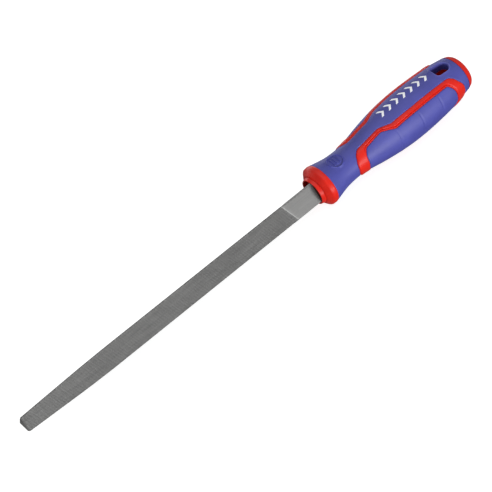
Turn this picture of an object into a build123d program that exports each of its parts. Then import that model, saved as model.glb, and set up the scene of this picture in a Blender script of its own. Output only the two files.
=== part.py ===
from build123d import *
import os

os.makedirs("parts", exist_ok=True)

# Lengths along the file are measured from the tip of the blade, in millimetres.
overall_length = 314.0
blade_length = 200.0
blade_side = 13.0
blade_root_side = 12.8
blade_corner_radius = 0.45
pocket_depth = 3.0
shoulder_length = 7.0
shoulder_side = 8.6
tang_end = 268.0
tang_width = 5.4
tang_height = 4.2
tang_end_width = 2.6
tang_end_height = 2.0

# Share of the full side at each distance from the tip.
blade_taper = [(0.0, 0.62), (0.4, 0.71), (1.2, 0.76), (14.0, 0.83), (28.0, 0.905), (40.0, 0.965), (54.0, 1.0)]

# The grip's centre line climbs slightly towards the butt and crosses zero at its widest point.
lift_slope = 0.025
widest_x = 272.0
blade_z = -2.0

nose_front = 200.4
nose_front_size = (8.1, 7.7)
nose_back_size = (8.9, 8.1)
nose_length = 2.2
nose_opening_radius = 7.3

# Half width of the handle at each distance from the tip. Its half height is a fixed share of that.
height_share = 0.88
collar_sections = [(202.6, 9.6), (204.7, 12.4), (205.4, 12.95), (207.4, 13.1), (208.2, 12.9)]
grip_sections = [
    (208.2, 12.9),
    (213.0, 11.7),
    (218.0, 10.7),
    (224.0, 10.25),
    (230.0, 10.35),
    (236.0, 11.2),
    (243.0, 12.6),
    (250.0, 13.75),
    (257.0, 14.7),
    (264.0, 15.3),
    (272.0, 15.55),
    (279.0, 15.45),
    (286.0, 15.1),
    (293.0, 14.6),
    (300.0, 13.8),
    (306.0, 12.75),
    (309.8, 12.0),
]
butt_sections = [(309.8, 12.0), (312.2, 11.1), (313.4, 10.0), (314.0, 8.2)]

skin = 2.4
rib_rise = 0.55
pad_rise = 0.3

# Plan outline of one side loop: distance from the tip and distance from the centre plane.
cut_reach = 25.0
loop_outline = [
    (226.8, cut_reach),
    (226.9, 9.9),
    (229.5, 6.2),
    (232.3, 4.2),
    (248.1, 4.3),
    (255.6, 7.6),
    (270.0, 8.3),
    (298.7, 8.0),
    (301.5, 9.7),
    (303.0, 11.5),
    (304.8, 12.6),
    (306.0, 13.6),
    (306.2, cut_reach),
]
pad_outline = [
    (233.8, cut_reach),
    (233.9, 9.7),
    (236.5, 7.25),
    (247.9, 7.0),
    (255.9, 11.0),
    (270.0, 11.4),
    (288.0, 11.2),
    (295.2, 11.0),
    (297.0, 12.4),
    (298.6, 13.9),
    (299.6, cut_reach),
]
outline_corner_radius = 0.7

hole_front = 295.8
hole_back = 305.6
hole_half_width = 4.0
hole_front_radius = 1.6
hole_back_radius = 3.6
lining = 1.3
lining_depth = 7.0
rim_level = 12.4
rim_depth = 0.8
rim_height = 3.0
rim_taper = -38
rim_slope = 0.12


pocket_floor = nose_front + pocket_depth


def along(distance):
    return distance - overall_length / 2


def lift(distance):
    return lift_slope * (distance - widest_x)


def triangle_section(distance, side):
    with BuildSketch(Plane.YZ.offset(along(distance))) as section:
        with Locations((0, blade_z)):
            RegularPolygon(radius=side / 3**0.5, side_count=3, rotation=90)
        fillet(section.vertices(), radius=blade_corner_radius)
    return section.sketch


def oval_section(distance, half_width, offset=0.0):
    with BuildSketch(Plane.YZ.offset(along(distance))) as section:
        with Locations((0, lift(distance))):
            Ellipse(half_width + offset, height_share * half_width + offset)
    return section.sketch


def oval_body(sections, offset):
    with BuildPart() as body:
        for distance, half_width in sections:
            add(oval_section(distance, half_width, offset))
        loft()
    return body.part


def side_zones(outline):
    points = [(along(distance), reach) for distance, reach in outline]
    with BuildPart() as zones:
        with BuildSketch(Plane.XY.offset(-cut_reach)) as one_side:
            with BuildLine():
                Polyline(*points, close=True)
            make_face()
            fillet(one_side.vertices(), radius=outline_corner_radius)
            mirror(about=Plane.XZ)
        extrude(amount=2 * cut_reach)
    return zones.part


def hole_outline(grow):
    front = along(hole_front) - grow
    back = along(hole_back) + grow
    half_width = hole_half_width + grow
    with BuildSketch() as outline:
        with Locations(((front + back) / 2, 0)):
            Rectangle(back - front, 2 * half_width)
        front_corners = outline.vertices().group_by(Axis.X)[0]
        fillet(front_corners, radius=hole_front_radius + grow)
        back_corners = outline.vertices().group_by(Axis.X)[-1]
        fillet(back_corners, radius=hole_back_radius)
    return outline.sketch


# Blade with its tang, forged in one piece.
with BuildPart() as file_blade:
    for distance, share in blade_taper:
        add(triangle_section(distance, blade_side * share))
    loft(ruled=True)
    add(triangle_section(blade_taper[-1][0], blade_side))
    add(triangle_section(blade_length, blade_side))
    loft(ruled=True)
    add(triangle_section(blade_length, blade_side))
    add(triangle_section(pocket_floor, blade_root_side))
    loft(ruled=True)
    add(triangle_section(pocket_floor, blade_root_side))
    add(triangle_section(pocket_floor + shoulder_length, shoulder_side))
    loft(ruled=True)
    with BuildSketch(Plane.YZ.offset(along(pocket_floor + shoulder_length))):
        with Locations((0, blade_z)):
            Rectangle(tang_width, tang_height)
    with BuildSketch(Plane.YZ.offset(along(tang_end))):
        with Locations((0, blade_z)):
            Rectangle(tang_end_width, tang_end_height)
    loft(ruled=True)

inner_body = oval_body(grip_sections, -skin)
grip_body = oval_body(grip_sections, 0)
pad_body = oval_body(grip_sections, pad_rise)
rib_body = oval_body(grip_sections, rib_rise)
loop_zones = side_zones(loop_outline)
pad_zones = side_zones(pad_outline)

# Lining of the hang hole, one sleeve from each face.
with BuildPart() as hole_lining:
    with BuildSketch(Plane.XY.offset(lining_depth)):
        add(hole_outline(lining))
    extrude(amount=cut_reach)
    mirror(about=Plane.XY)
    add(inner_body, mode=Mode.INTERSECT)

with BuildPart() as hang_hole:
    with BuildSketch(Plane.XY.offset(-cut_reach)):
        add(hole_outline(0))
    extrude(amount=2 * cut_reach)

# Hard raised ribs that frame the two side pads.
with BuildPart() as side_ribs:
    add(rib_body)
    add(inner_body, mode=Mode.SUBTRACT)
    add(loop_zones, mode=Mode.INTERSECT)
    add(pad_zones, mode=Mode.SUBTRACT)

with BuildPart() as handle_core:
    add(inner_body)
    add(side_ribs.part)
    for distance, half_width in collar_sections:
        add(oval_section(distance, half_width))
    loft(ruled=True)
    with BuildSketch(Plane.YZ.offset(along(nose_front))):
        with Locations((0, blade_z)):
            Ellipse(*nose_front_size)
    with BuildSketch(Plane.YZ.offset(along(nose_front + nose_length))):
        with Locations((0, blade_z)):
            Ellipse(*nose_back_size)
    loft(ruled=True)
    add(oval_body(butt_sections, 0))
    with BuildSketch(Plane.YZ.offset(along(nose_front))):
        with Locations((0, blade_z)):
            Circle(nose_opening_radius)
    extrude(amount=pocket_depth, mode=Mode.SUBTRACT)
    add(file_blade.part, mode=Mode.SUBTRACT)
    add(hole_lining.part, mode=Mode.SUBTRACT)
    add(hang_hole.part, mode=Mode.SUBTRACT)

# Soft grip moulded over the core.
with BuildPart() as grip_sleeve:
    add(grip_body)
    add(inner_body, mode=Mode.SUBTRACT)
    add(loop_zones, mode=Mode.SUBTRACT)
    add(hole_lining.part)
    add(hang_hole.part, mode=Mode.SUBTRACT)
    for side in (1, -1):
        rim_distance = (hole_front + hole_back) / 2
        rim_origin = (along(rim_distance), 0, side * rim_level + lift(rim_distance))
        rim_plane = Plane(origin=rim_origin, x_dir=(1, 0, -side * rim_slope), z_dir=(side * rim_slope, 0, side))
        with BuildSketch(rim_plane.offset(-rim_depth)):
            with Locations((-along(rim_distance), 0)):
                add(hole_outline(0))
        extrude(amount=rim_height, taper=rim_taper, mode=Mode.SUBTRACT)

with BuildPart() as side_pads:
    add(pad_body)
    add(inner_body, mode=Mode.SUBTRACT)
    add(pad_zones, mode=Mode.INTERSECT)

with BuildPart() as left_pad:
    add(side_pads.part.solids().sort_by(Axis.Y)[-1])

with BuildPart() as right_pad:
    add(side_pads.part.solids().sort_by(Axis.Y)[0])

file_blade.part.label = "file_blade"
export_step(file_blade.part, "parts/file_blade.step")

handle_core.part.label = "handle_core"
export_step(handle_core.part, "parts/handle_core.step")

grip_sleeve.part.label = "grip_sleeve"
export_step(grip_sleeve.part, "parts/grip_sleeve.step")

left_pad.part.label = "left_pad"
export_step(left_pad.part, "parts/left_pad.step")

right_pad.part.label = "right_pad"
export_step(right_pad.part, "parts/right_pad.step")
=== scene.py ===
import math

import bmesh
import bpy
import numpy as np
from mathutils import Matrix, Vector, kdtree
from mathutils.geometry import delaunay_2d_cdt


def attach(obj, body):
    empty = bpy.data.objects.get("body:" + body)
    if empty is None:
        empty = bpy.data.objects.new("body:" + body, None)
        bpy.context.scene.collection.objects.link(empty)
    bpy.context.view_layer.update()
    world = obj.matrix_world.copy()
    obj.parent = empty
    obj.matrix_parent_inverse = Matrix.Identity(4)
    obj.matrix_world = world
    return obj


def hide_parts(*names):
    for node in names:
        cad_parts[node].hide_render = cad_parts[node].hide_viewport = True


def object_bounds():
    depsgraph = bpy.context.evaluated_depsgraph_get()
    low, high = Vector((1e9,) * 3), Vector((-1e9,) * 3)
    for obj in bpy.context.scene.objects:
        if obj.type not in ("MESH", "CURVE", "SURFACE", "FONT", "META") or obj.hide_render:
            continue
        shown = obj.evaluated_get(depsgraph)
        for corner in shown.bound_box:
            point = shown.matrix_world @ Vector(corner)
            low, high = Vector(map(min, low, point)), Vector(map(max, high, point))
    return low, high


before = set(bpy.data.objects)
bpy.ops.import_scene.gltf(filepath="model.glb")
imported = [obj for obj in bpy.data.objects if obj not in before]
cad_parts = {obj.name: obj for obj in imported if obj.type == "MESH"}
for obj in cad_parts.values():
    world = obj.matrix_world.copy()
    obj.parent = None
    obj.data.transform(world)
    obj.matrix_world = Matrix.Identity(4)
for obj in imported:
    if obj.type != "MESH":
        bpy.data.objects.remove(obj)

cad_low, cad_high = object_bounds()
MM = 0.001

# Lengths are in millimetres. Distances run along the file from the tip, as in the solids.
TIP_X = cad_low.x / MM

# The blade: a triangle with rounded corners. The taper gives the share of the full side.
NOSE_FRONT = 200.4
BLADE_SIDE = 13.0
BLADE_CORNER_RADIUS = 0.45
POCKET_DEPTH = 3.0
BLADE_Z = -2.0
POCKET_FLOOR = NOSE_FRONT + POCKET_DEPTH
BLADE_TAPER = [
    (0, 0.62), (0.4, 0.71), (1.2, 0.76), (14, 0.83), (28, 0.905), (40, 0.965), (54, 1), (200, 1),
    (POCKET_FLOOR, 0.985),
]
FACE_ANGLES = (math.radians(30), math.radians(150), math.radians(270))
CORNER_TURN = math.radians(120)
BLADE_STEP = 0.4
BLADE_SHARP = 24.0

# Space kept clear of the pattern's points at the last cut, at a face's edge and at the tip.
END_MARGIN, EDGE_MARGIN, TIP_MARGIN = 0.25, 0.12, 0.4

# The tang: distance, half width and half height of each section.
TANG_OVERLAP = 0.1
TANG_CORNER_SHARE = 0.25
TANG_SECTIONS = [(POCKET_FLOOR - TANG_OVERLAP, 4.3, 3.4), (210.4, 2.7, 2.1), (268, 1.3, 1.0)]

# Each tooth is one cell of two crossing sets of parallel cuts.
OVERCUT_PITCH, OVERCUT_ANGLE = 0.62, math.radians(-46)
UPCUT_PITCH, UPCUT_ANGLE = 0.58, math.radians(68.7)
TOOTH_DEPTH = 0.2
TOOTH_BACK = 0.7
TOOTH_SADDLE = 0.35
CREST_LEAN = 0.2
FACE_SHIFT = 0.37
BAND_PITCH, BAND_SHARE = 2.37, 0.16
NICK_DEPTH, NICK_PITCH = 0.16, 1.2

# The patch of the pattern that is laid out before it is cut to the face.
CUT_LENGTH, CUT_REACH = 186.0, 7.0

# Where the teeth start behind the tip, and where they stop on a slant before the smooth heel.
TEETH_START, TEETH_START_FADE = 0.6, 0.8
TEETH_END, TEETH_SLANT, TEETH_END_FADE = 181.55, -0.39, 0.3
HEEL_BEVEL, HEEL_RISE, HEEL_STEP = 0.4, 0.08, 1.2
BORDER_HALF = 5.5

# The tip's darker steel, painted shade, and the end face within it, which gets a lighter steel as painted
# highlight; and where the steel inside the pocket starts to get a dark red-brown, painted shadow and
# reflection of the red pocket.
TIP_LENGTH, END_FACE = 1.2, 0.02
POCKET_SHADE_START = NOSE_FRONT + 0.3
CORNER_MARGIN = 0.05

# Order of the blade's materials after its plain steel. After the teeth come painted light: a lighter steel
# as painted highlight, then darker steels as painted shade on the toothed corners and at the tip, then a
# dark red-brown as painted shadow and reflection inside the pocket.
TEETH, PAINTED_HIGHLIGHT, PAINTED_CORNER_SHADE, PAINTED_TIP_SHADE, PAINTED_POCKET_SHADE = 1, 2, 3, 4, 5

# The grip: half width at each distance. Its half height is a fixed share of that.
LIFT_SLOPE = 0.025
WIDEST = 272.0
HEIGHT_SHARE = 0.88
GRIP_START, GRIP_END = 208.2, 309.8
GRIP_SECTIONS = [
    (208.2, 12.9), (213, 11.7), (218, 10.7), (224, 10.25), (230, 10.35), (236, 11.2), (243, 12.6),
    (250, 13.75), (257, 14.7), (264, 15.3), (272, 15.55), (279, 15.45), (286, 15.1), (293, 14.6),
    (300, 13.8), (306, 12.75), (309.8, 12.0),
]
SKIN = 2.4
RIB_RISE = 0.55
RIB_OVERLAP = 0.3
PAD_RISE = 0.3
PAD_TOP = 0.24
PARTING_DEPTH, PARTING_REACH = 0.45, 0.38
FAR = 30.0

# Keeps the curved skin just inside the box of the solids.
CLEARANCE = 0.05

# Plan outlines: distance from the tip and distance from the centre plane.
REACH = 25.0
OUTLINE_CORNER, OUTLINE_STEP = 0.9, 0.02
LOOP_OUTLINE = [
    (226.8, REACH), (226.9, 9.9), (229.5, 6.2), (232.3, 4.2), (248.1, 4.3), (255.6, 7.6), (270, 8.3),
    (298.7, 8.0), (301.5, 9.7), (303, 11.5), (304.8, 12.6), (306, 13.6), (306.2, REACH),
]
PAD_OUTLINE = [
    (233.8, REACH), (233.9, 9.7), (236.5, 7.25), (247.9, 7.0), (255.9, 11.0), (270, 11.4), (288, 11.2),
    (295.2, 11.0), (297, 12.4), (298.6, 13.9), (299.6, REACH),
]
HOLE_FRONT, HOLE_BACK, HOLE_HALF_WIDTH = 295.8, 305.6, 4.0
HOLE_FRONT_RADIUS, HOLE_BACK_RADIUS = 1.6, 3.6
HOLE_STEP, HOLE_COUNT = 0.3, 96
LINING, LINING_DEPTH = 1.3, 7.0
# The band round each end of the hang hole that gets the paler blue, a painted highlight.
RIM_INNER, RIM_OUTER, RIM_BAND = 0.28, 0.8, 1.2

# Creases across each pad: where they are, how deep, how wide and how bowed.
CREASES = (255.4, 271.6, 286.8)
CREASE_DEPTH, CREASE_WIDTH = 0.24, 0.34
SWELL_RISE, SWELL_WIDTH, SWELL_OFFSET = 0.03, 0.9, 1.1
CREASE_START, CREASE_FADE, CREASE_MIDDLE = math.radians(48), math.radians(8), math.radians(66)
CREASE_BOW = 1.8

# A plain ring with three bars, raised on the neck.
EMBLEM_CENTRE = (218.6, 1.6)
EMBLEM_RISE, EMBLEM_RADIUS, EMBLEM_STROKE = 0.72, 4.6, 0.34
BAR_OFFSETS, BAR_HALF_LENGTH, BAR_END_FADE = (-1.9, 0.0, 1.9), 2.5, 0.2

# Turning the curved skin flat: one millimetre of the flat drawing for each millimetre at this radius.
FLAT_RADIUS = 14.0
EQUATOR = FLAT_RADIUS * math.pi / 2


# --- shape helpers -------------------------------------------------------------------------------


def smooth(table, x):
    """Cubic curve through the table's points."""
    table = np.array(table, float)
    xs, ys = table[:, 0], table[:, 1]
    slopes = np.gradient(ys, xs)
    x = np.asarray(x, float)
    i = np.clip(np.searchsorted(xs, x) - 1, 0, len(xs) - 2)
    h = xs[i + 1] - xs[i]
    t = np.clip((x - xs[i]) / h, 0, 1)
    return (
        ys[i] * (1 + 2 * t) * (1 - t) ** 2
        + ys[i + 1] * t**2 * (3 - 2 * t)
        + h * slopes[i] * t * (1 - t) ** 2
        - h * slopes[i + 1] * t**2 * (1 - t)
    )


def linear(table, x):
    """Straight lines through the table's points."""
    table = np.array(table, float)
    return np.interp(x, table[:, 0], table[:, 1])


def half_width(distance):
    """Half width of the grip."""
    return smooth(GRIP_SECTIONS, distance)


def lift(distance):
    """Height of the grip's centre line."""
    return LIFT_SLOPE * (distance - WIDEST)


def on_grip(flat, rise):
    """Points of the grip's skin for flat drawing points (distance, arc from the top line)."""
    distance, angle = flat[:, 0], flat[:, 1] / FLAT_RADIUS
    width = half_width(distance) - CLEARANCE
    height = HEIGHT_SHARE * half_width(distance) - CLEARANCE
    return np.stack(
        [
            distance + TIP_X,
            -(width + rise) * np.sin(angle),
            lift(distance) + (height + rise) * np.cos(angle),
        ],
        axis=1,
    )


def corner_cut(points, reach, steps=6):
    """The polyline with each inner corner replaced by a short curve."""
    points = np.array(points, float)
    result = [points[0]]
    for before, corner, after in zip(points, points[1:], points[2:]):
        start = corner + (before - corner) * min(reach / np.linalg.norm(before - corner), 0.45)
        end = corner + (after - corner) * min(reach / np.linalg.norm(after - corner), 0.45)
        for t in np.linspace(0, 1, steps):
            result.append((1 - t) ** 2 * start + 2 * t * (1 - t) * corner + t**2 * end)
    result.append(points[-1])
    return np.array(result)


def resample(points, step):
    """Evenly spaced points along a polyline, with its two ends kept."""
    lengths = np.concatenate([[0], np.cumsum(np.linalg.norm(np.diff(points, axis=0), axis=1))])
    count = max(2, int(round(lengths[-1] / step)) + 1)
    where = np.linspace(0, lengths[-1], count)
    return np.stack([np.interp(where, lengths, points[:, k]) for k in range(points.shape[1])], axis=1)


def plan_to_flat(plan):
    """Flat drawing points for plan points, held at the widest line of the grip."""
    width = half_width(plan[:, 0]) + PAD_RISE
    angle = np.arcsin(np.clip(plan[:, 1] / width, -1, 1))
    return np.stack([plan[:, 0], angle * FLAT_RADIUS], axis=1)


def outline_to_flat(outline, step):
    """Flat drawing of one side outline, from the widest line in and back to it."""
    flat = plan_to_flat(resample(corner_cut(outline, OUTLINE_CORNER), OUTLINE_STEP))
    above = np.flatnonzero(flat[:, 1] < EQUATOR - 1e-6)
    return resample(flat[above[0] - 1 : above[-1] + 2], step)


def hole_plan(grow, step):
    """Closed plan outline of the hang hole, grown outwards by a distance."""
    front, back, side = HOLE_FRONT - grow, HOLE_BACK + grow, HOLE_HALF_WIDTH + grow
    front_radius, back_radius = HOLE_FRONT_RADIUS + grow, HOLE_BACK_RADIUS + grow
    path = []
    for x, y, radius, start in (
        (back, side, back_radius, 0),
        (front, side, front_radius, 90),
        (front, -side, front_radius, 180),
        (back, -side, back_radius, 270),
    ):
        centre = np.array([x - math.copysign(radius, x - front - 1), y - math.copysign(radius, y)])
        for angle in np.radians(np.linspace(start, start + 90, 24)):
            path.append(centre + radius * np.array([math.cos(angle), math.sin(angle)]))
    path.append(path[0])
    return resample(np.array(path), step)[:-1]


class Nearness:
    """Distance in space to the nearest of some lines drawn on the grip's skin."""

    def __init__(self, lines):
        points = np.concatenate([on_grip(resample(line, 0.12), 0) for line in lines])
        self.tree = kdtree.KDTree(len(points))
        for i, point in enumerate(points):
            self.tree.insert(point, i)
        self.tree.balance()

    def __call__(self, flat):
        return np.array([self.tree.find(point)[2] for point in on_grip(flat, 0)])


def inside(flat, loop):
    """Whether each flat point lies inside a closed loop."""
    x, y = flat[:, 0], flat[:, 1]
    result = np.zeros(len(flat), bool)
    for (x0, y0), (x1, y1) in zip(loop, np.roll(loop, -1, axis=0)):
        if y0 == y1:
            continue
        crossing = ((y0 > y) != (y1 > y)) & (x < x0 + (y - y0) * (x1 - x0) / (y1 - y0))
        result ^= crossing
    return result


def triangles(loops, seeds):
    """Flat points and triangles that fill the first loop, leaving out the other loops."""
    points = np.concatenate(loops + [seeds])
    edges, base = [], 0
    for loop in loops:
        count = len(loop)
        edges += [(base + i, base + (i + 1) % count) for i in range(count)]
        base += count
    out = delaunay_2d_cdt([Vector(p) for p in points], edges, [], 1, 1e-6)
    flat = np.array([tuple(v) for v in out[0]])
    faces = np.array([tuple(f) for f in out[2]])
    origin = np.full(len(points), -1)
    for new, sources in enumerate(out[3]):
        for source in sources:
            origin[source] = new
    middle = flat[faces].mean(axis=1)
    keep = inside(middle, loops[0])
    for loop in loops[1:]:
        keep &= ~inside(middle, loop)
    return flat, faces[keep], [origin[i] for i in range(base)]


# A point of a row is dropped where it comes nearer to a line than this share of its distance.
ROW_SHARE = 0.85


def rings(lines, distances, nearness, turn):
    """Rows of points beside lines of the flat drawing, to carry a rounded edge."""
    rows = []
    for line in lines:
        along = np.gradient(line, axis=0)
        along /= np.linalg.norm(along, axis=1)[:, None] + 1e-12
        normal = np.stack([-along[:, 1], along[:, 0]], axis=1) * turn
        scale = half_width(line[:, 0]) / FLAT_RADIUS
        for distance in distances:
            row = line + normal * distance * np.stack([np.ones(len(line)), 1 / scale], axis=1)
            rows.append(row[nearness(row) > ROW_SHARE * distance])
    return np.concatenate(rows)


def grid(x_range, y_range, step_x, step_y):
    """Staggered points that fill a rectangle."""
    xs = np.arange(x_range[0], x_range[1], step_x)
    points = []
    for i, x in enumerate(xs):
        ys = np.arange(y_range[0] + (i % 2) * step_y / 2, y_range[1], step_y)
        points.append(np.stack([np.full(len(ys), x), ys], axis=1))
    return np.concatenate(points)


# --- mesh helpers --------------------------------------------------------------------------------


# Edges that turn by more than this many degrees are shaded sharp.
SHARP = 38.0
RIB_SHARP = 50.0
WELD_GAP = 2e-6


class Shell:
    """Vertices in millimetres and faces, gathered before they become one mesh."""

    def __init__(self):
        self.vertices, self.faces = [], []
        self.count = 0

    def add(self, points, faces):
        base = self.count
        self.vertices.append(np.asarray(points, float))
        self.faces += [tuple(int(i) + base for i in face) for face in faces]
        self.count += len(points)
        return base

    def bridge(self, first, second, closed):
        """Quads between two rows of vertex numbers."""
        count = len(first)
        for i in range(count if closed else count - 1):
            j = (i + 1) % count
            self.faces.append((int(first[i]), int(first[j]), int(second[j]), int(second[i])))

    def mirrored(self, axis, level=None):
        """The shell and its mirror image, across zero or across a level that varies along x."""
        points = np.concatenate(self.vertices)
        image = points.copy()
        image[:, axis] = -image[:, axis]
        if level is not None:
            image[:, axis] += 2 * level(points[:, 0])
        faces = self.faces + [tuple(i + len(points) for i in face[::-1]) for face in self.faces]
        both = Shell()
        both.add(np.concatenate([points, image]), faces)
        return both

    def build(self, name, sharp=SHARP):
        mesh = bpy.data.meshes.new(name)
        mesh.from_pydata((np.concatenate(self.vertices) * MM).tolist(), [], self.faces)
        piece = bpy.data.objects.new(name, mesh)
        bpy.context.scene.collection.objects.link(piece)
        weld(mesh)
        shade(mesh, sharp)
        return piece


def weld(mesh):
    """Joins meeting vertices and turns every face outwards."""
    work = bmesh.new()
    work.from_mesh(mesh)
    bmesh.ops.remove_doubles(work, verts=work.verts, dist=WELD_GAP)
    bmesh.ops.dissolve_degenerate(work, dist=WELD_GAP / 4, edges=work.edges)
    bmesh.ops.recalc_face_normals(work, faces=work.faces)
    work.to_mesh(mesh)
    work.free()


def shade(mesh, sharp):
    """Smooth shading, broken where faces meet at more than an angle in degrees."""
    mesh.polygons.foreach_set("use_smooth", [True] * len(mesh.polygons))
    mesh.set_sharp_from_angle(angle=math.radians(sharp))
    mesh.update()


def joined(pieces, name):
    """One object made of several."""
    with bpy.context.temp_override(
        active_object=pieces[0], selected_editable_objects=pieces, selected_objects=pieces
    ):
        bpy.ops.object.join()
    pieces[0].name = name
    pieces[0].data.name = name
    return pieces[0]


def grip_level(x):
    """Height of the grip's centre line at a place in the shared frame."""
    return lift(x - TIP_X)


# --- the soft sleeve -----------------------------------------------------------------------------

STEP = 0.5
EDGE_ROWS = (0.1, 0.22, 0.4, 0.65, 1.0)
HOLE_ROWS = (0.12, 0.3, 0.55, 0.85, 1.3)

# Clear space between the rows beside an edge and the points that fill the skin.
EDGE_CLEAR, HOLE_CLEAR, WAIST_CLEAR = 1.25, 1.6, 0.15
EMBLEM_FINE, EMBLEM_HOLD, EMBLEM_BLOCK = 6.1, 6.4, 6.0


def edge_rise(distance):
    """Height of a rounded edge of soft plastic over its distance from the parting line."""
    return -PARTING_DEPTH * np.clip(1 - distance / PARTING_REACH, 0, 1) ** 2


def hole_rise(distance):
    """The hang hole's softened edge inside a faint raised rim."""
    table = [(0, -0.8), (0.12, -0.6), (0.3, -0.2), (0.55, 0.26), (0.85, 0.28), (1.3, 0), (FAR, 0)]
    return linear(table, distance)


def stroke(offset):
    """Share of the full height across one line of the emblem, flat on top with sloped sides."""
    return np.clip(1.5 - np.abs(offset) / EMBLEM_STROKE, 0, 1)


def emblem_rise(flat):
    """A plain raised ring with three bars inside it."""
    scale = half_width(flat[:, 0]) / FLAT_RADIUS
    x = flat[:, 0] - EMBLEM_CENTRE[0]
    y = (flat[:, 1] - EMBLEM_CENTRE[1]) * scale
    radius = np.hypot(x, y)
    ring = stroke(radius - EMBLEM_RADIUS)
    bars = np.zeros(len(x))
    for offset in BAR_OFFSETS:
        bar_end = np.clip((BAR_HALF_LENGTH - np.abs(y)) / BAR_END_FADE, 0, 1)
        bars = np.maximum(bars, stroke(x - offset) * bar_end)
    return EMBLEM_RISE * np.maximum(ring, bars)


def make_sleeve():
    """The sleeve's outer and inner skin, its edges and the lining of the hang hole."""
    side = outline_to_flat(LOOP_OUTLINE, STEP)
    other = side * [1, -1]
    front_left = resample(np.array([[GRIP_START, -EQUATOR], [side[0, 0], -EQUATOR]]), STEP)
    back_left = resample(np.array([[side[-1, 0], -EQUATOR], [GRIP_END, -EQUATOR]]), STEP)
    back = resample(np.array([[GRIP_END, -EQUATOR], [GRIP_END, EQUATOR]]), STEP)
    front = resample(np.array([[GRIP_START, EQUATOR], [GRIP_START, -EQUATOR]]), STEP)
    back_right = (back_left * [1, -1])[::-1]
    front_right = (front_left * [1, -1])[::-1]
    parts = [front_left, other, back_left, back, back_right, side[::-1], front_right, front]
    rim = np.concatenate([part[:-1] for part in parts])
    hole = plan_to_flat(hole_plan(0, HOLE_STEP))
    hole_closed = np.concatenate([hole, hole[:1]])

    parting = Nearness([side, other, back, front])
    opening = Nearness([hole_closed])
    rows = [
        rings([other, back], EDGE_ROWS, parting, 1),
        rings([side[::-1], front], EDGE_ROWS, parting, 1),
        rings([hole_closed], HOLE_ROWS, opening, -1),
    ]
    fill = grid((GRIP_START + 1, GRIP_END - 1), (-EQUATOR + 0.6, EQUATOR - 0.6), 0.9, 1.0)
    centre = np.array(EMBLEM_CENTRE)
    fill = fill[np.hypot(*(fill - centre).T) > EMBLEM_HOLD]
    block = [(middle - EMBLEM_BLOCK, middle + EMBLEM_BLOCK) for middle in centre]
    fine = grid(*block, 0.2, 0.24)
    fine = fine[np.hypot(*(fine - centre).T) < EMBLEM_FINE]
    fill = np.concatenate([fill, fine])
    fill = fill[(parting(fill) > EDGE_CLEAR) & (opening(fill) > HOLE_CLEAR)]
    seeds = np.concatenate(rows + [fill])
    seeds = seeds[inside(seeds, rim) & ~inside(seeds, hole)]
    seeds = seeds[np.abs(seeds[:, 1]) < EQUATOR - WAIST_CLEAR]

    flat, faces, order = triangles([rim, hole], seeds)
    rise = edge_rise(parting(flat)) + hole_rise(opening(flat)) + emblem_rise(flat)
    outer = on_grip(flat, rise)
    shell = Shell()
    shell.add(outer, faces)
    outer_rim, outer_hole = order[: len(rim)], order[len(rim) :]

    # Inside of the skin, with the hole wider by the lining.
    wide_flat = plan_to_flat(match_loop(hole_plan(LINING, HOLE_STEP), len(hole)))
    clear_of_hole = plan_to_flat(match_loop(hole_plan(LINING + 1, HOLE_STEP), 60))
    coarse = grid((GRIP_START + 2, GRIP_END - 2), (-EQUATOR + 2, EQUATOR - 2), 3.0, 3.0)
    coarse = coarse[inside(coarse, rim) & ~inside(coarse, clear_of_hole)]
    coarse = coarse[parting(coarse) > 1.0]
    inner_flat, inner_faces, inner_order = triangles([rim, wide_flat], coarse)
    base = shell.add(on_grip(inner_flat, -SKIN), inner_faces[:, ::-1])
    inner_rim = [base + i for i in inner_order[: len(rim)]]
    inner_hole = [base + i for i in inner_order[len(rim) :]]
    bridge_rim(shell, rim, outer_rim, inner_rim)

    # Lining from the surface down to the hard core.
    feet = []
    for ring in (outer[outer_hole], on_grip(wide_flat, -SKIN)):
        ring = ring.copy()
        ring[:, 2] = LINING_DEPTH
        base = shell.add(ring, [])
        feet.append([base + i for i in range(len(ring))])
    wall, foot = feet
    shell.bridge(outer_hole, wall, True)
    shell.bridge(wall, foot, True)
    shell.bridge(foot, inner_hole, True)
    return shell.mirrored(2, grip_level).build("soft_sleeve")


def paint_rim_highlight(mesh):
    """Gives the raised rim round each end of the hang hole the paler blue, a painted highlight along its
    edge.
    """
    middles = np.array([tuple(polygon.center) for polygon in mesh.polygons]) / MM
    plan = np.stack([middles[:, 0] - TIP_X, middles[:, 1]], axis=1)
    near = inside(plan, hole_plan(RIM_OUTER, HOLE_STEP)) & ~inside(plan, hole_plan(RIM_INNER, HOLE_STEP))
    skin_height = HEIGHT_SHARE * np.sqrt(np.maximum(half_width(plan[:, 0]) ** 2 - plan[:, 1] ** 2, 0))
    on_skin = np.abs(middles[:, 2] - lift(plan[:, 0])) > skin_height - RIM_BAND
    for polygon, chosen in zip(mesh.polygons, near & on_skin):
        if chosen:
            polygon.material_index = 1


def match_loop(loop, count):
    """The closed loop with a given number of evenly spaced points."""
    closed = np.concatenate([loop, loop[:1]])
    lengths = np.concatenate([[0], np.cumsum(np.linalg.norm(np.diff(closed, axis=0), axis=1))])
    where = np.linspace(0, lengths[-1], count + 1)[:-1]
    return np.stack([np.interp(where, lengths, closed[:, k]) for k in range(2)], axis=1)


def bridge_rim(shell, rim, outer, inner):
    """Walls down every edge of the rim except those along the widest line, where the halves meet."""
    count = len(rim)
    for i in range(count):
        j = (i + 1) % count
        if abs(abs(rim[i, 1]) - EQUATOR) < 1e-4 and abs(abs(rim[j, 1]) - EQUATOR) < 1e-4:
            continue
        shell.faces.append((int(outer[i]), int(outer[j]), int(inner[j]), int(inner[i])))


# --- ribs and pads -------------------------------------------------------------------------------

# Wider than the first of these, a rib loses its groove, over the second.
NARROW_RIB, BROAD_FADE = 4.6, 1.4

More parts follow.
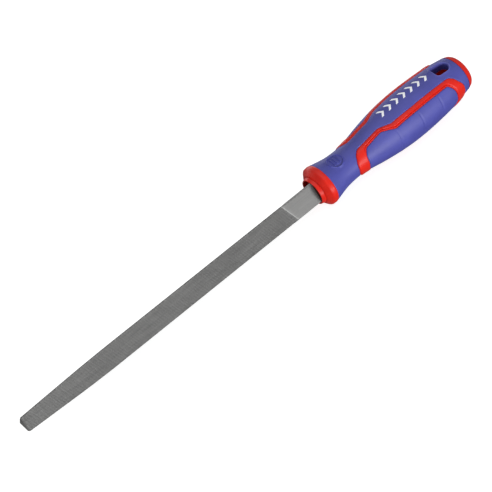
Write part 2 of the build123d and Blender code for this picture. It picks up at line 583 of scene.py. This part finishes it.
# Rows of points beside the rib's two edges, and the space kept clear of them.
LOOP_ROWS, LOOP_CLEAR = (0.1, 0.25, 0.5, 0.9, 1.5), 1.7
GROOVE_ROWS, GROOVE_CLEAR = (0.12, 0.28, 0.5, 0.75, 0.95, 1.1, 1.35, 1.6, 2.0), 2.3
RIB_WAIST_CLEAR = 0.12
CREASE_BLOCK, CREASE_HOLD = 2.4, 2.2


def half_panel(rim, seeds, rise, depth):
    """One closed-sided panel of the upper half, open along the widest line."""
    flat, faces, order = triangles([rim], seeds)
    shell = Shell()
    shell.add(on_grip(flat, rise(flat)), faces)
    inner_flat, inner_faces, inner_order = triangles([rim], np.zeros((0, 2)))
    base = shell.add(on_grip(inner_flat, -depth), inner_faces[:, ::-1])
    bridge_rim(shell, rim, order, [base + i for i in inner_order])
    return shell.mirrored(2, grip_level)


def crown_profile(to_panel, to_pad):
    """Cross-section of a rib: a wide flank, a ridge, a groove and a thin ridge beside the pad."""
    ridge = [
        (0, -PARTING_DEPTH), (0.12, 0.0), (0.28, 0.27), (0.5, 0.34), (0.75, 0.22), (0.95, -0.12),
        (1.1, -0.12), (1.35, 0.35), (1.6, RIB_RISE), (FAR, RIB_RISE),
    ]
    plain = [(0, -PARTING_DEPTH), (0.12, 0.05), (0.3, 0.38), (0.6, 0.5), (1.0, RIB_RISE), (FAR, RIB_RISE)]
    width = to_panel + to_pad
    broad = np.clip((width - NARROW_RIB) / BROAD_FADE, 0, 1)
    near_pad = linear(ridge, to_pad) * (1 - broad) + linear(plain, to_pad) * broad
    flank = [(0, -PARTING_DEPTH), (0.1, -0.25), (0.25, -0.1), (2.1, RIB_RISE), (FAR, RIB_RISE)]
    step = [(0, -PARTING_DEPTH), (0.1, 0.0), (0.25, 0.25), (0.5, 0.4), (0.9, RIB_RISE), (FAR, RIB_RISE)]
    near_panel = linear(flank, to_panel) * (1 - broad) + linear(step, to_panel) * broad
    return np.minimum(near_pad, near_panel)


def make_ribs():
    """The raised red loop round each side pad."""
    loop = outline_to_flat(LOOP_OUTLINE, STEP)
    pad = outline_to_flat(PAD_OUTLINE, STEP)
    back = resample(np.array([loop[-1], pad[-1]]), STEP)
    front = resample(np.array([pad[0], loop[0]]), STEP)
    rim = np.concatenate([part[:-1] for part in (loop, back, pad[::-1], front)])
    to_loop, to_pad = Nearness([loop]), Nearness([pad])
    rows = [
        rings([loop], LOOP_ROWS, to_loop, 1),
        rings([pad], GROOVE_ROWS, to_pad, -1),
    ]
    fill = grid((227, 306), (2, EQUATOR - 0.3), 0.7, 0.8)
    fill = fill[(to_loop(fill) > LOOP_CLEAR) & (to_pad(fill) > GROOVE_CLEAR)]
    seeds = np.concatenate(rows + [fill])
    seeds = seeds[inside(seeds, rim)]
    keep = (to_loop(seeds) > 0.08) & (to_pad(seeds) > 0.1) & (seeds[:, 1] < EQUATOR - RIB_WAIST_CLEAR)
    seeds = seeds[keep]

    def rise(flat):
        return crown_profile(to_loop(flat), to_pad(flat))

    right = half_panel(rim, seeds, rise, SKIN + RIB_OVERLAP)
    return right.mirrored(1).build("ribs", sharp=RIB_SHARP)


def crease_rise(flat):
    """Shallow steps pressed across a pad."""
    distance, angle = flat[:, 0], flat[:, 1] / FLAT_RADIUS
    result = np.zeros(len(flat))
    reach = np.clip((angle - CREASE_START) / CREASE_FADE, 0, 1)
    bow = CREASE_BOW * (angle - CREASE_MIDDLE) ** 2
    for crease in CREASES:
        offset = distance - crease + bow
        result -= CREASE_DEPTH * np.exp(-((offset / CREASE_WIDTH) ** 2)) * reach
        result += SWELL_RISE * np.exp(-(((offset - SWELL_OFFSET) / SWELL_WIDTH) ** 2)) * reach
    return result


def make_pad(name, sign):
    """One side pad; the sign picks its side."""
    pad = outline_to_flat(PAD_OUTLINE, STEP)
    waist = resample(np.array([pad[-1], pad[0]]), STEP)
    rim = np.concatenate([pad[:-1], waist[:-1]])
    to_pad = Nearness([pad])
    rows = rings([pad], EDGE_ROWS, to_pad, 1)
    fill = grid((233, 300), (6, EQUATOR - 0.3), 0.8, 0.9)
    fill = fill[np.min([np.abs(fill[:, 0] - c) for c in CREASES], axis=0) > CREASE_HOLD]
    fine = [grid((c - CREASE_BLOCK, c + CREASE_BLOCK), (6, EQUATOR - 0.3), 0.22, 0.7) for c in CREASES]
    seeds = np.concatenate([fill] + fine)
    seeds = np.concatenate([rows, seeds[to_pad(seeds) > EDGE_CLEAR]])
    seeds = seeds[inside(seeds, rim) & (seeds[:, 1] < EQUATOR - RIB_WAIST_CLEAR)]

    def rise(flat):
        distance = to_pad(flat)
        crown = [
            (0, -PARTING_DEPTH), (0.1, -0.08), (0.22, 0.08), (0.4, 0.16), (0.65, 0.2), (1.0, PAD_TOP),
            (FAR, PAD_TOP),
        ]
        return linear(crown, distance) + crease_rise(flat) * np.clip(distance / 1.5, 0, 1)

    shell = half_panel(rim, seeds, rise, SKIN)
    if sign > 0:
        points = np.concatenate(shell.vertices)
        shell.vertices = [points * [1, -1, 1]]
    return shell.build(name)


# --- the hard core -------------------------------------------------------------------------------

# Distance, half width and half height of the nose; distance and half width of the rest.
NOSE_RINGS = [
    (POCKET_FLOOR, 7.3, 7.3), (NOSE_FRONT, 7.3, 7.3), (NOSE_FRONT, 8.1, 7.7), (202.35, 8.85, 8.05),
    (202.75, 8.75, 7.95),
]
COLLAR_RINGS = [(202.62, 9.6), (204.7, 12.38), (205.3, 12.93), (207.4, 13.05), (208.2, 12.8)]
BUTT_RINGS = [(GRIP_END, 12.0), (312.2, 11.1), (313.4, 10.0), (314, 8.2), (314, 5.0), (314, 2.0)]
NOSE_CORNER, BUTT_CORNER = 0.16, 0.35
GRIP_STEP = 3.0
CORE_SEGMENTS = 160
CUTTER_REACH = 20.0


def section(distance, width):
    """One ring of the handle: distance, half width, half height and centre height."""
    return (distance, width, HEIGHT_SHARE * width, lift(distance))


def core_profile():
    """Distance, half width, half height and centre height of each ring, from pocket floor to butt."""
    nose = [(*row, BLADE_Z) for row in NOSE_RINGS]
    collar = [section(*row) for row in COLLAR_RINGS]
    grip = [section(d, float(half_width(d)) - SKIN) for d in np.arange(GRIP_START, GRIP_END, GRIP_STEP)]
    grip.append(section(GRIP_END, float(half_width(GRIP_END)) - SKIN))
    butt = [section(*row) for row in BUTT_RINGS]
    front = corner_cut(nose + collar, NOSE_CORNER, 3)
    back = corner_cut(butt, BUTT_CORNER, 4)
    return front.tolist() + grip + back.tolist()


def lathe(rows, segments):
    """Closed mesh through elliptical rings, capped at both ends."""
    shell = Shell()
    angles = np.linspace(0, 2 * math.pi, segments, endpoint=False)
    previous = None
    for distance, width, height, level in rows:
        x = np.full(segments, distance + TIP_X)
        ring = np.stack([x, width * np.sin(angles), level + height * np.cos(angles)], axis=1)
        base = shell.add(ring, [])
        current = [base + i for i in range(segments)]
        if previous is None:
            first = current
        else:
            shell.bridge(previous, current, True)
        previous = current
    for ring, row in ((first, rows[0]), (previous, rows[-1])):
        centre = shell.add([[row[0] + TIP_X, 0, row[3]]], [])
        shell.faces += [(ring[i], ring[(i + 1) % segments], centre) for i in range(segments)]
    return shell


def hole_cutter():
    """A stepped plug: the hang hole between the two linings, and the linings' outline beyond."""
    narrow = match_loop(hole_plan(0, HOLE_STEP), HOLE_COUNT)
    wide = match_loop(hole_plan(LINING, HOLE_STEP), HOLE_COUNT)
    levels = [
        (wide, -CUTTER_REACH), (wide, -LINING_DEPTH), (narrow, -LINING_DEPTH),
        (narrow, LINING_DEPTH), (wide, LINING_DEPTH), (wide, CUTTER_REACH),
    ]
    shell = Shell()
    rows = []
    for plan, height in levels:
        ring = np.stack([plan[:, 0] + TIP_X, -plan[:, 1], np.full(HOLE_COUNT, height)], axis=1)
        base = shell.add(ring, [])
        rows.append([base + i for i in range(HOLE_COUNT)])
    for lower, upper in zip(rows, rows[1:]):
        shell.bridge(lower, upper, True)
    shell.faces += [tuple(rows[0]), tuple(rows[-1][::-1])]
    return shell.build("cutter")


def make_core():
    """The turned body with the hang hole cut through it, and its ribs."""
    core = lathe(core_profile(), CORE_SEGMENTS).build("core_body")
    cutter = hole_cutter()
    cut = core.modifiers.new("hang_hole", "BOOLEAN")
    cut.operation = "DIFFERENCE"
    cut.solver = "EXACT"
    cut.object = cutter
    depsgraph = bpy.context.evaluated_depsgraph_get()
    core.data = bpy.data.meshes.new_from_object(core.evaluated_get(depsgraph))
    core.modifiers.clear()
    bpy.data.objects.remove(cutter)
    shade(core.data, SHARP)
    return joined([core, make_ribs()], "hard_core")


# --- the blade -----------------------------------------------------------------------------------


def blade_share(x):
    """Share of the blade's full side."""
    return linear(BLADE_TAPER, x)


def flat_half(x):
    """Half width of one flat face, short of its rounded corners."""
    return BLADE_SIDE / 2 * blade_share(x) - BLADE_CORNER_RADIUS * math.sqrt(3)


def tooth_cell(x, y):
    """Position within the two sets of cuts, in pitches."""
    first = (x * math.sin(OVERCUT_ANGLE) + y * math.cos(OVERCUT_ANGLE)) / OVERCUT_PITCH
    second = (x * math.sin(UPCUT_ANGLE) + y * math.cos(UPCUT_ANGLE)) / UPCUT_PITCH
    return first, second


def tooth_points():
    """Points of the tooth pattern over one face: crests, valleys and the slopes between."""
    matrix = np.array(
        [
            [math.sin(OVERCUT_ANGLE) / OVERCUT_PITCH, math.cos(OVERCUT_ANGLE) / OVERCUT_PITCH],
            [math.sin(UPCUT_ANGLE) / UPCUT_PITCH, math.cos(UPCUT_ANGLE) / UPCUT_PITCH],
        ]
    )
    back = np.linalg.inv(matrix)
    corners = np.array([[x, y] for x in (0, CUT_LENGTH) for y in (-CUT_REACH, CUT_REACH)]) @ matrix.T
    low, high = np.floor(corners.min(0)), np.ceil(corners.max(0))
    first = np.arange(low[0], high[0], 0.5)
    second = np.arange(low[1], high[1], 0.5)
    cells = np.stack(np.meshgrid(first, second, indexing="ij"), axis=-1).reshape(-1, 2)
    cells[:, 0] += np.where(cells[:, 0] % 1 == 0.5, CREST_LEAN, 0)
    return cells @ back.T


def cut_share(x, to_heel):
    """Share of the full depth of cut, which fades out at the tip and at the heel."""
    return np.clip(to_heel / TEETH_END_FADE, 0, 1) * np.clip((x - TEETH_START) / TEETH_START_FADE, 0, 1)


def tooth_rise(x, y):
    """Depth of the cuts below the face; each tooth rises slowly and drops sharply towards the tip."""
    first, second = tooth_cell(x, y)
    saw = first % 1
    slope = np.where(saw < TOOTH_BACK, saw / TOOTH_BACK, (1 - saw) / (1 - TOOTH_BACK))
    cross = 1 - np.abs(second % 1 - 0.5) * 2
    height = np.minimum(slope, TOOTH_SADDLE + (1 - TOOTH_SADDLE) * cross)
    band = (1 + BAND_SHARE * np.cos(2 * math.pi * second / BAND_PITCH)) / (1 + BAND_SHARE)
    to_heel = TEETH_END + TEETH_SLANT * y - x
    heel = np.clip(-to_heel / HEEL_BEVEL, 0, 1)
    return -TOOTH_DEPTH * (1 - height) * cut_share(x, to_heel) * band - HEEL_RISE * (1 - heel)


def blade_point(face, x, y, rise):
    """A point on one of the three faces, in space."""
    angle = FACE_ANGLES[face]
    normal = np.array([math.cos(angle), math.sin(angle)])
    tangent = np.array([-normal[1], normal[0]])
    inner = BLADE_SIDE / (2 * math.sqrt(3)) * blade_share(x)
    across = normal * (inner + rise)[:, None] + tangent * y[:, None]
    return np.stack([x + TIP_X, -across[:, 0], BLADE_Z + across[:, 1]], axis=1)


def make_blade():
    """Three toothed faces with nicked corners between them, closed at both ends, and the tang."""
    xs = np.arange(0, POCKET_FLOOR + BLADE_STEP / 2, BLADE_STEP)
    xs[-1] = POCKET_FLOOR
    side = flat_half(xs)
    low = np.stack([xs, -side], axis=1)
    high = np.stack([xs, side], axis=1)
    rim = np.concatenate([low, high[::-1]])
    points = tooth_points()
    edge = flat_half(points[:, 0])
    toothed = points[:, 0] < TEETH_END + TEETH_SLANT * points[:, 1] - END_MARGIN
    off_edge = np.abs(points[:, 1]) < edge - EDGE_MARGIN
    points = points[toothed & (points[:, 0] > TIP_MARGIN) & off_edge]
    ys = np.linspace(-BORDER_HALF, BORDER_HALF, 56)
    last_cut = TEETH_END + TEETH_SLANT * ys
    border = [np.stack([last_cut + offset, ys], axis=1) for offset in (-TEETH_END_FADE, 0.0, HEEL_BEVEL)]
    heel = grid((178, POCKET_FLOOR - 0.5), (0.1 - BORDER_HALF, BORDER_HALF), HEEL_STEP, HEEL_STEP)
    heel = heel[heel[:, 0] > TEETH_END + TEETH_SLANT * heel[:, 1] + HEEL_BEVEL + 0.4]
    flat, faces, order = triangles([rim], np.concatenate([points, *border, heel]))
    shell = Shell()
    sides = []
    for face in range(3):
        rise = tooth_rise(flat[:, 0], flat[:, 1] + FACE_SHIFT * face)
        base = shell.add(blade_point(face, flat[:, 0], flat[:, 1], rise), faces)
        numbers = [base + i for i in order]
        sides.append((numbers[: len(xs)], numbers[len(xs) :][::-1]))
    for face in range(3):
        previous = sides[face][1]
        low_row = sides[(face + 1) % 3][0]
        for row in corner_rows(face, xs):
            base = shell.add(row, [])
            current = [base + i for i in range(len(xs))]
            shell.bridge(previous, current, False)
            previous = current
        shell.bridge(previous, low_row, False)
    blade = shell.build("toothed_blade", sharp=BLADE_SHARP)
    cap_ends(blade.data)
    return joined([blade, tang()], "toothed_blade")


def corner_rows(face, xs):
    """Rows of points round one long corner of the blade, nicked where the cuts run out."""
    rows = []
    reach = (BLADE_SIDE / math.sqrt(3)) * blade_share(xs) - 2 * BLADE_CORNER_RADIUS
    corner_angle = FACE_ANGLES[face] + CORNER_TURN / 2
    centre = np.stack([reach * math.cos(corner_angle), reach * math.sin(corner_angle)], axis=1)
    wave = 0.5 - 0.5 * np.cos(2 * math.pi * xs / NICK_PITCH)
    radius = BLADE_CORNER_RADIUS - NICK_DEPTH * wave * cut_share(xs, TEETH_END - xs)
    for t in (1 / 3, 2 / 3):
        angle = FACE_ANGLES[face] + t * CORNER_TURN
        across = centre + radius[:, None] * np.array([math.cos(angle), math.sin(angle)])
        rows.append(np.stack([xs + TIP_X, -across[:, 0], BLADE_Z + across[:, 1]], axis=1))
    return rows


def mark_teeth(mesh):
    """Gives the teeth their own steel, and paints light on the rest: darker steels as painted shade on the
    teeth's corners and the tip, a dark red-brown as painted shadow and reflection on the hidden end inside
    the pocket, and a lighter steel as painted highlight on the heel's bevel, its corners and the end face.
    """
    for polygon in mesh.polygons:
        x, y, z = polygon.center / MM
        across = face_offset(y, z)
        distance = x - TIP_X
        past_teeth = distance - TEETH_END - TEETH_SLANT * across
        on_corner = abs(across) > flat_half(distance) - CORNER_MARGIN
        # The end face gets a lighter steel: painted highlight.
        if distance < END_FACE:
            polygon.material_index = PAINTED_HIGHLIGHT
        # The tip gets a darker steel: painted shade.
        elif distance < TIP_LENGTH:
            polygon.material_index = PAINTED_TIP_SHADE
        # The steel inside the pocket gets a dark red-brown: painted shadow and reflection of the red
        # pocket.
        elif distance > POCKET_SHADE_START:
            polygon.material_index = PAINTED_POCKET_SHADE
        # On the teeth, the corners get a near-black steel: painted shade.
        elif past_teeth < 0:
            polygon.material_index = PAINTED_CORNER_SHADE if on_corner else TEETH
        # Past the teeth, the heel's bevel and its corners get a lighter steel: painted highlight.
        elif past_teeth < HEEL_BEVEL or on_corner:
            polygon.material_index = PAINTED_HIGHLIGHT


def face_offset(y, z):
    """Offset across whichever face the point lies on."""
    choices = []
    for angle in FACE_ANGLES:
        cosine, sine = math.cos(angle), math.sin(angle)
        height = -y * cosine + (z - BLADE_Z) * sine
        choices.append((height, y * sine + (z - BLADE_Z) * cosine))
    return max(choices, key=lambda choice: choice[0])[1]


def cap_ends(mesh):
    """Closes the two open ends of the blade."""
    work = bmesh.new()
    work.from_mesh(mesh)
    open_edges = [edge for edge in work.edges if edge.is_boundary]
    bmesh.ops.holes_fill(work, edges=open_edges, sides=0)
    bmesh.ops.recalc_face_normals(work, faces=work.faces)
    work.to_mesh(mesh)
    work.free()
    shade(mesh, BLADE_SHARP)


def tang():
    """The four-sided tang inside the handle, with small flats on its corners."""
    shell = Shell()
    previous = None
    for distance, half_y, half_z in TANG_SECTIONS:
        cut = TANG_CORNER_SHARE * half_z
        one_side = [
            (half_y - cut, half_z), (half_y, half_z - cut), (half_y, cut - half_z), (half_y - cut, -half_z),
        ]
        corners = one_side + [(-y, -z) for y, z in one_side]
        base = shell.add([[distance + TIP_X, y, BLADE_Z + z] for y, z in corners], [])
        current = [base + i for i in range(len(corners))]
        if previous is None:
            shell.faces.append(tuple(current))
        else:
            shell.bridge(previous, current, True)
        previous = current
    shell.faces.append(tuple(previous[::-1]))
    return shell.build("tang")


# --- generic printed marks -----------------------------------------------------------------------

MARK_START, MARK_END, MARK_COUNT = 254.8, 287.6, 7
MARK_CENTRE, MARK_HEIGHT, MARK_STROKE, MARK_POINT = -1.2, 5.5, 1.6, 2.2
MARK_RISE = 0.04


def make_marks():
    """A row of plain chevrons printed on the top panel, pointing to the butt."""
    shell = Shell()
    columns, rows = 4, 13
    for start in np.linspace(MARK_START, MARK_END, MARK_COUNT):
        across = np.linspace(-MARK_HEIGHT / 2, MARK_HEIGHT / 2, rows)
        along = np.linspace(0, MARK_STROKE, columns)
        point = MARK_POINT * (1 - np.abs(across) * 2 / MARK_HEIGHT)
        flat = np.array([[start + x + p, MARK_CENTRE + y] for y, p in zip(across, point) for x in along])
        flat[:, 1] *= FLAT_RADIUS / half_width(flat[:, 0])
        top = [
            (i * columns + j, i * columns + j + 1, (i + 1) * columns + j + 1, (i + 1) * columns + j)
            for i in range(rows - 1)
            for j in range(columns - 1)
        ]
        base = shell.add(on_grip(flat, MARK_RISE), top)
        low = shell.add(on_grip(flat, -MARK_RISE), [face[::-1] for face in top])
        edge = list(range(columns))
        edge += [i * columns + columns - 1 for i in range(1, rows)]
        edge += [(rows - 1) * columns + j for j in range(columns - 2, -1, -1)]
        edge += [i * columns for i in range(rows - 2, 0, -1)]
        shell.bridge([base + i for i in edge], [low + i for i in edge], True)
    return shell.build("panel_marks")


# --- materials -----------------------------------------------------------------------------------


class Nodes:
    """Short names for building a node tree."""

    def __init__(self, name):
        self.material = bpy.data.materials.new(name)
        self.material.use_nodes = True
        self.tree = self.material.node_tree
        self.shader = self.tree.nodes["Principled BSDF"]

    def add(self, kind):
        return self.tree.nodes.new(kind)

    def set(self, name, value):
        self.shader.inputs[name].default_value = value

    def link(self, output, target):
        self.tree.links.new(output, target)

    def position(self, scale):
        """Object coordinates, which are metres, turned to millimetres and stretched."""
        place = self.add("ShaderNodeTexCoord")
        mapping = self.add("ShaderNodeMapping")
        mapping.inputs["Scale"].default_value = [1000 * s for s in scale]
        self.link(place.outputs["Object"], mapping.inputs["Vector"])
        return mapping.outputs["Vector"]

    def noise(self, vector, scale, detail=2.0, roughness=0.5):
        node = self.add("ShaderNodeTexNoise")
        node.inputs["Scale"].default_value = scale
        node.inputs["Detail"].default_value = detail
        node.inputs["Roughness"].default_value = roughness
        self.link(vector, node.inputs["Vector"])
        return node.outputs["Fac"]

    def ramp(self, factor, stops):
        node = self.add("ShaderNodeValToRGB")
        elements = node.color_ramp.elements
        while len(elements) < len(stops):
            elements.new(0.5)
        for element, (place, colour) in zip(elements, stops):
            element.position = place
            element.color = (*colour, 1)
        self.link(factor, node.inputs["Fac"])
        return node.outputs["Color"]

    def ranged(self, factor, low, high):
        node = self.add("ShaderNodeMapRange")
        node.inputs["To Min"].default_value = low
        node.inputs["To Max"].default_value = high
        self.link(factor, node.inputs["Value"])
        return node.outputs["Result"]

    def bump(self, height, strength, distance, normal=None):
        node = self.add("ShaderNodeBump")
        node.inputs["Strength"].default_value = strength
        node.inputs["Distance"].default_value = distance * MM
        self.link(height, node.inputs["Height"])
        if normal is not None:
            self.link(normal, node.inputs["Normal"])
        return node.outputs["Normal"]


# How much of the steel's colour comes from the soft cloud, and how far its roughness varies.
CLOUD_SHARE, ROUGHNESS_SPREAD = 0.45, 0.07


def steel_material(name, dark, mid, light, roughness):
    """Ground steel: fine scratches along the blade over a soft cloud of oil and wear."""
    nodes = Nodes(name)
    shader = nodes.shader
    grain = nodes.noise(nodes.position((0.06, 1.6, 1.6)), 1.0, 4.0, 0.6)
    cloud = nodes.noise(nodes.position((0.05, 0.12, 0.12)), 1.0, 3.0, 0.6)
    fine = nodes.noise(nodes.position((3, 3, 3)), 1.0, 2.0)
    mixed = nodes.add("ShaderNodeMix")
    mixed.inputs["Factor"].default_value = CLOUD_SHARE
    nodes.link(grain, mixed.inputs["A"])
    nodes.link(cloud, mixed.inputs["B"])
    colour = nodes.ramp(mixed.outputs["Result"], [(0.25, dark), (0.5, mid), (0.75, light)])
    nodes.link(colour, shader.inputs["Base Color"])
    nodes.set("Metallic", 0.5)
    nodes.set("Specular IOR Level", 0.3)
    low, high = roughness - ROUGHNESS_SPREAD, roughness + ROUGHNESS_SPREAD
    nodes.link(nodes.ranged(cloud, low, high), shader.inputs["Roughness"])
    normal = nodes.bump(grain, 0.25, 0.03)
    nodes.link(nodes.bump(fine, 0.3, 0.02, normal), shader.inputs["Normal"])
    return nodes.material


def grey(level):
    """A grey with a trace of warmth."""
    return (level, level, level * 0.985)


def red_material():
    """Glossy red plastic with a faint ripple."""
    nodes = Nodes("red_hard_plastic")
    shader = nodes.shader
    cloud = nodes.noise(nodes.position((0.08, 0.15, 0.15)), 1.0, 3.0)
    fine = nodes.noise(nodes.position((0.9, 0.9, 0.9)), 1.0, 3.0)
    colour = nodes.ramp(cloud, [(0.3, (0.54, 0.011, 0.005)), (0.7, (0.63, 0.016, 0.007))])
    nodes.link(colour, shader.inputs["Base Color"])
    nodes.link(nodes.ranged(fine, 0.3, 0.42), shader.inputs["Roughness"])
    nodes.set("Specular IOR Level", 0.25)
    nodes.link(nodes.bump(fine, 0.12, 0.05), shader.inputs["Normal"])
    return nodes.material


def blue_material(name, dark, light):
    """Satin blue plastic with a fine stipple."""
    nodes = Nodes(name)
    shader = nodes.shader
    cloud = nodes.noise(nodes.position((0.07, 0.12, 0.12)), 1.0, 4.0, 0.6)
    stipple = nodes.noise(nodes.position((2.6, 2.6, 2.6)), 1.0, 2.0)
    colour = nodes.ramp(cloud, [(0.25, dark), (0.75, light)])
    nodes.link(colour, shader.inputs["Base Color"])
    nodes.link(nodes.ranged(cloud, 0.46, 0.6), shader.inputs["Roughness"])
    nodes.set("Specular IOR Level", 0.52)
    nodes.link(nodes.bump(stipple, 0.2, 0.05), shader.inputs["Normal"])
    return nodes.material


def mark_material():
    """White print, slightly speckled."""
    nodes = Nodes("mark_print")
    shader = nodes.shader
    speckle = nodes.noise(nodes.position((3.0, 3.0, 3.0)), 1.0, 3.0)
    colour = nodes.ramp(speckle, [(0.2, (0.86, 0.87, 0.9)), (0.6, (0.96, 0.97, 1.0))])
    nodes.link(colour, shader.inputs["Base Color"])
    nodes.link(nodes.ranged(speckle, 0.4, 0.6), shader.inputs["Roughness"])
    nodes.link(nodes.bump(speckle, 0.2, 0.03), shader.inputs["Normal"])
    return nodes.material


def floor_material():
    """Matt and pale, with light of its own so that it stays even under the object."""
    nodes = Nodes("studio_floor")
    cloud = nodes.noise(nodes.position((0.01, 0.01, 0.01)), 1.0, 2.0)
    colour = nodes.ramp(cloud, [(0.3, (0.50, 0.50, 0.50)), (0.7, (0.54, 0.54, 0.54))])
    nodes.link(colour, nodes.shader.inputs["Base Color"])
    nodes.set("Roughness", 0.9)
    nodes.set("Specular IOR Level", 0.0)
    nodes.set("Emission Color", (1, 1, 1, 1))
    nodes.set("Emission Strength", 0.8)
    return nodes.material


def wear(piece, material):
    """Puts a material and its slot name on a piece."""
    piece.data.materials.clear()
    piece.data.materials.append(material)


# --- the studio ----------------------------------------------------------------------------------

CAMERA_PLACE = (-0.29009, -0.57919, 0.66064)
CAMERA_TURN = (42.590, 13.309, -40.262)
CAMERA_LENS, CAMERA_SENSOR = 127.22, 36.0
SKY_BELOW, SKY_ABOVE = 0.22, 0.55
SKY_FROM, SKY_TO = -0.6, 0.9
FLOOR_COUNT, FLOOR_HALF = 9, 3.0


def make_camera():
    """The camera that sees the file from the side of its handle's right pad, above it."""
    data = bpy.data.cameras.new("camera")
    camera = bpy.data.objects.new("camera", data)
    bpy.context.scene.collection.objects.link(camera)
    camera.location = CAMERA_PLACE
    camera.rotation_euler = [math.radians(a) for a in CAMERA_TURN]
    data.lens = CAMERA_LENS
    data.sensor_width = CAMERA_SENSOR
    data.clip_start, data.clip_end = 0.01, 20.0
    bpy.context.scene.camera = camera


def make_light(name, place, target, size, power):
    """A soft rectangular lamp turned to a target."""
    data = bpy.data.lights.new(name, "AREA")
    data.shape = "RECTANGLE"
    data.size, data.size_y = size
    data.energy = power
    lamp = bpy.data.objects.new(name, data)
    bpy.context.scene.collection.objects.link(lamp)
    lamp.location = place
    lamp.rotation_euler = (Vector(target) - Vector(place)).to_track_quat("-Z", "Y").to_euler()


def make_world():
    """Even light, stronger from above than from below."""
    world = bpy.data.worlds.new("studio")
    bpy.context.scene.world = world
    world.use_nodes = True
    nodes, links = world.node_tree.nodes, world.node_tree.links
    place = nodes.new("ShaderNodeTexCoord")
    split = nodes.new("ShaderNodeSeparateXYZ")
    strength = nodes.new("ShaderNodeMapRange")
    strength.inputs["From Min"].default_value = SKY_FROM
    strength.inputs["From Max"].default_value = SKY_TO
    strength.inputs["To Min"].default_value = SKY_BELOW
    strength.inputs["To Max"].default_value = SKY_ABOVE
    links.new(place.outputs["Generated"], split.inputs["Vector"])
    links.new(split.outputs["Z"], strength.inputs["Value"])
    links.new(strength.outputs["Result"], nodes["Background"].inputs["Strength"])
    nodes["Background"].inputs["Color"].default_value = (1, 1, 1, 1)


def make_floor(level):
    """A level sheet under the object, which doesn't colour or mirror in it."""
    mesh = bpy.data.meshes.new("floor")
    count = FLOOR_COUNT
    line = np.linspace(-FLOOR_HALF, FLOOR_HALF, count)
    points = [(x, y, level) for x in line for y in line]
    faces = [
        (i * count + j, (i + 1) * count + j, (i + 1) * count + j + 1, i * count + j + 1)
        for i in range(count - 1)
        for j in range(count - 1)
    ]
    mesh.from_pydata(points, [], faces)
    floor = bpy.data.objects.new("floor", mesh)
    bpy.context.scene.collection.objects.link(floor)
    floor.data.materials.append(floor_material())
    floor.visible_diffuse = False
    floor.visible_glossy = False


# --- putting it together -------------------------------------------------------------------------

make_camera()
make_world()
make_light("key", (-0.1, -1.15, 0.10), (0.05, 0, 0), (1.7, 0.5), 24)
make_light("top", (0.2, 0.1, 1.6), (0, 0, 0), (1.4, 1.2), 5.5)
make_light("far side", (0.1, 1.15, 0.05), (0.05, 0, 0), (1.7, 0.5), 4.5)
bpy.context.scene.view_settings.view_transform = "Standard"

steel = steel_material("blade_steel", grey(0.086), grey(0.108), grey(0.130), 0.42)
teeth = steel_material("blade_teeth", grey(0.094), grey(0.138), grey(0.182), 0.5)
# A near-black steel: painted shade on the toothed corners.
corner_shade_steel = steel_material("blade_corner_painted_shade", grey(0.03), grey(0.045), grey(0.06), 0.6)
# A lighter steel: painted highlight on the heel's bevel, its corners and the end face.
bevel = steel_material("blade_painted_highlight", grey(0.16), grey(0.20), grey(0.24), 0.5)
# A darker steel: painted shade at the tip.
tip = steel_material("blade_tip_painted_shade", grey(0.055), grey(0.075), grey(0.095), 0.55)
# Dark red-brown steel: painted shadow and reflection of the red pocket on the steel inside it.
pocket_shade_steel = steel_material(
    "blade_pocket_painted_shade", (0.03, 0.012, 0.01), (0.05, 0.02, 0.016), (0.08, 0.035, 0.028), 0.5
)
blue = blue_material("blue_soft_grip", (0.040, 0.044, 0.255), (0.060, 0.066, 0.33))
# A paler blue: painted highlight on the hang hole's raised rim.
rim_highlight_blue = blue_material("blue_rim_painted_highlight", (0.085, 0.09, 0.34), (0.12, 0.125, 0.42))
red, white = red_material(), mark_material()

blade = make_blade()
wear(blade, steel)
for extra in (teeth, bevel, corner_shade_steel, tip, pocket_shade_steel):
    blade.data.materials.append(extra)
mark_teeth(blade.data)
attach(blade, "root")
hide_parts("file_blade")

core = make_core()
wear(core, red)
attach(core, "root")
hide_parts("handle_core")

sleeve = make_sleeve()
wear(sleeve, blue)
sleeve.data.materials.append(rim_highlight_blue)
paint_rim_highlight(sleeve.data)
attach(sleeve, "root")
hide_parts("grip_sleeve")

for node, sign in (("left_pad", 1), ("right_pad", -1)):
    pad = make_pad("soft_" + node, sign)
    wear(pad, blue)
    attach(pad, "root")
    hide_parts(node)

marks = make_marks()
wear(marks, white)
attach(marks, "root")

low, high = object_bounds()
make_floor(low.z)
